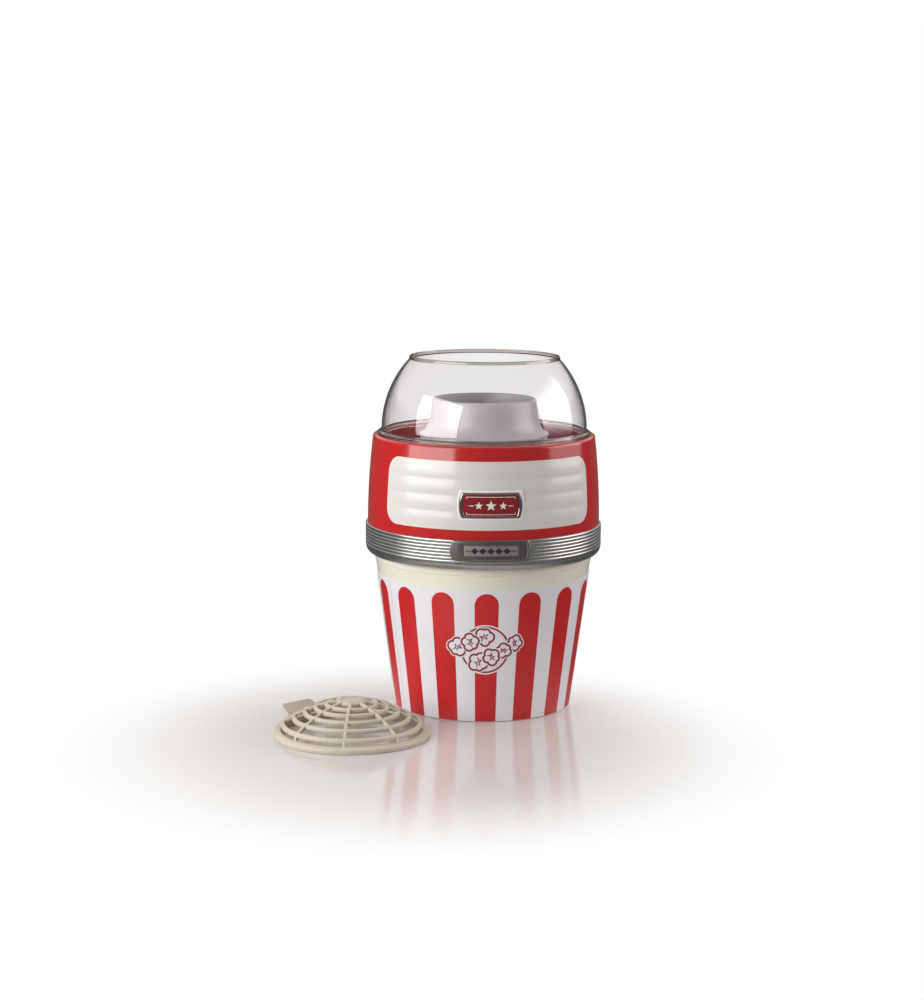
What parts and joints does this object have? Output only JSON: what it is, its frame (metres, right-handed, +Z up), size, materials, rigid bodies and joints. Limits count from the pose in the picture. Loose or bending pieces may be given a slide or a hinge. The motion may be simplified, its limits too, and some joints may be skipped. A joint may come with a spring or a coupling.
{
  "type": "popcorn maker",
  "caption": "Hot-air popcorn maker: striped bucket, red head with ribbed ring, clear open dome over a popping chamber, and a separate domed grille lid.",
  "frame": {"origin": "middle of the bucket's foot, on the table", "axes": "+Z up along the machine's axis, front with badge and name plate towards -Y, +X to the right as seen from the front"},
  "size_m": [0.3307, 0.3291, 0.3572],
  "materials": {
    "cream_plastic": "glossy moulded cream plastic",
    "printed_sleeve": "cool white printed film with red stripes",
    "silver_paint": "satin silver paint on moulded plastic",
    "gunmetal_plate": "dark satin plate",
    "chrome_trim": "bright chrome plating",
    "red_gloss": "glossy red lacquer",
    "cream_panel": "pearly cream lacquer",
    "clear_plastic": "clear moulded plastic",
    "grey_plastic": "satin light grey heat resistant plastic",
    "core_plastic": "moulded structural plastic",
    "black_plastic": "black moulded plastic",
    "beige_plastic": "satin beige plastic",
    "chamber_aluminium": "spun aluminium",
    "zinc_steel": "zinc plated steel",
    "heater_wire": "oxidised resistance wire",
    "mica": "mica sheet",
    "copper_brass": "brass and copper",
    "magnet_ferrite": "sintered ferrite",
    "sintered_bronze": "oil-filled sintered bronze",
    "felt_gasket": "heat resistant felt",
    "board_laminate": "circuit board laminate",
    "wire_insulation": "silicone insulation"
  },
  "bodies": {
    "bucket": {"bucket": "cream_plastic", "bucket_sleeve": "printed_sleeve"},
    "head": {"chassis": "silver_paint", "trim_ring": "silver_paint", "name_plate": "gunmetal_plate", "name_plate_inset": "silver_paint", "name_plate_ends": "chrome_trim", "name_plate_ornament": "gunmetal_plate", "body_shell": "red_gloss", "front_panel": "cream_panel", "badge_bezel": "chrome_trim", "badge_insert": "red_gloss", "badge_ornament": "chrome_trim", "passage_liner": "red_gloss", "liner_screws": "zinc_steel", "core_housing": "core_plastic", "core_base_cover": "core_plastic", "core_cover_screws": "zinc_steel", "motor_bracket": "zinc_steel", "bracket_screws": "zinc_steel", "motor_screws": "zinc_steel", "motor_can": "zinc_steel", "motor_end_cap": "black_plastic", "motor_bushes": "sintered_bronze", "motor_magnets": "magnet_ferrite", "heater_shroud": "zinc_steel", "heater_frame": "mica", "heater_coil": "heater_wire", "thermostat": "zinc_steel", "thermal_fuse": "copper_brass", "popping_chamber": "chamber_aluminium", "chamber_gasket": "felt_gasket", "chamber_collar": "grey_plastic", "rectifier_board": "board_laminate", "rectifier_diodes": "black_plastic", "terminal_block": "black_plastic", "mains_wires": "wire_insulation", "switch_frame": "black_plastic", "switch_terminals": "copper_brass", "cord_gland": "black_plastic"},
    "fan": {"fan_impeller": "black_plastic", "fan_clip": "zinc_steel", "motor_shaft": "zinc_steel", "motor_armature": "copper_brass"},
    "rocker": {"switch_rocker": "black_plastic"},
    "dome": {"dome": "clear_plastic"},
    "lid": {"grille_lid": "beige_plastic"}
  },
  "joints": [
    {"name": "head_lift", "type": "slide", "parent": "bucket", "child": "head", "axis": [0, 0, 1], "range_m": [0, 0.15]},
    {"name": "fan_spin", "type": "hinge", "parent": "head", "child": "fan", "pos_m": [0, 0, 0.19], "axis": [0, 0, 1], "continuous": true},
    {"name": "switch_tilt", "type": "hinge", "parent": "head", "child": "rocker", "pos_m": [0, 0.1134, 0.231], "axis": [1, 0, 0], "range_deg": [0, 16]},
    {"name": "dome_lift", "type": "slide", "parent": "head", "child": "dome", "axis": [0, 0, 1], "range_m": [0, 0.12]},
    {"name": "lid_lift", "type": "slide", "parent": "bucket", "child": "lid", "axis": [0, 0, 1], "range_m": [0, 0.11]}
  ]
}
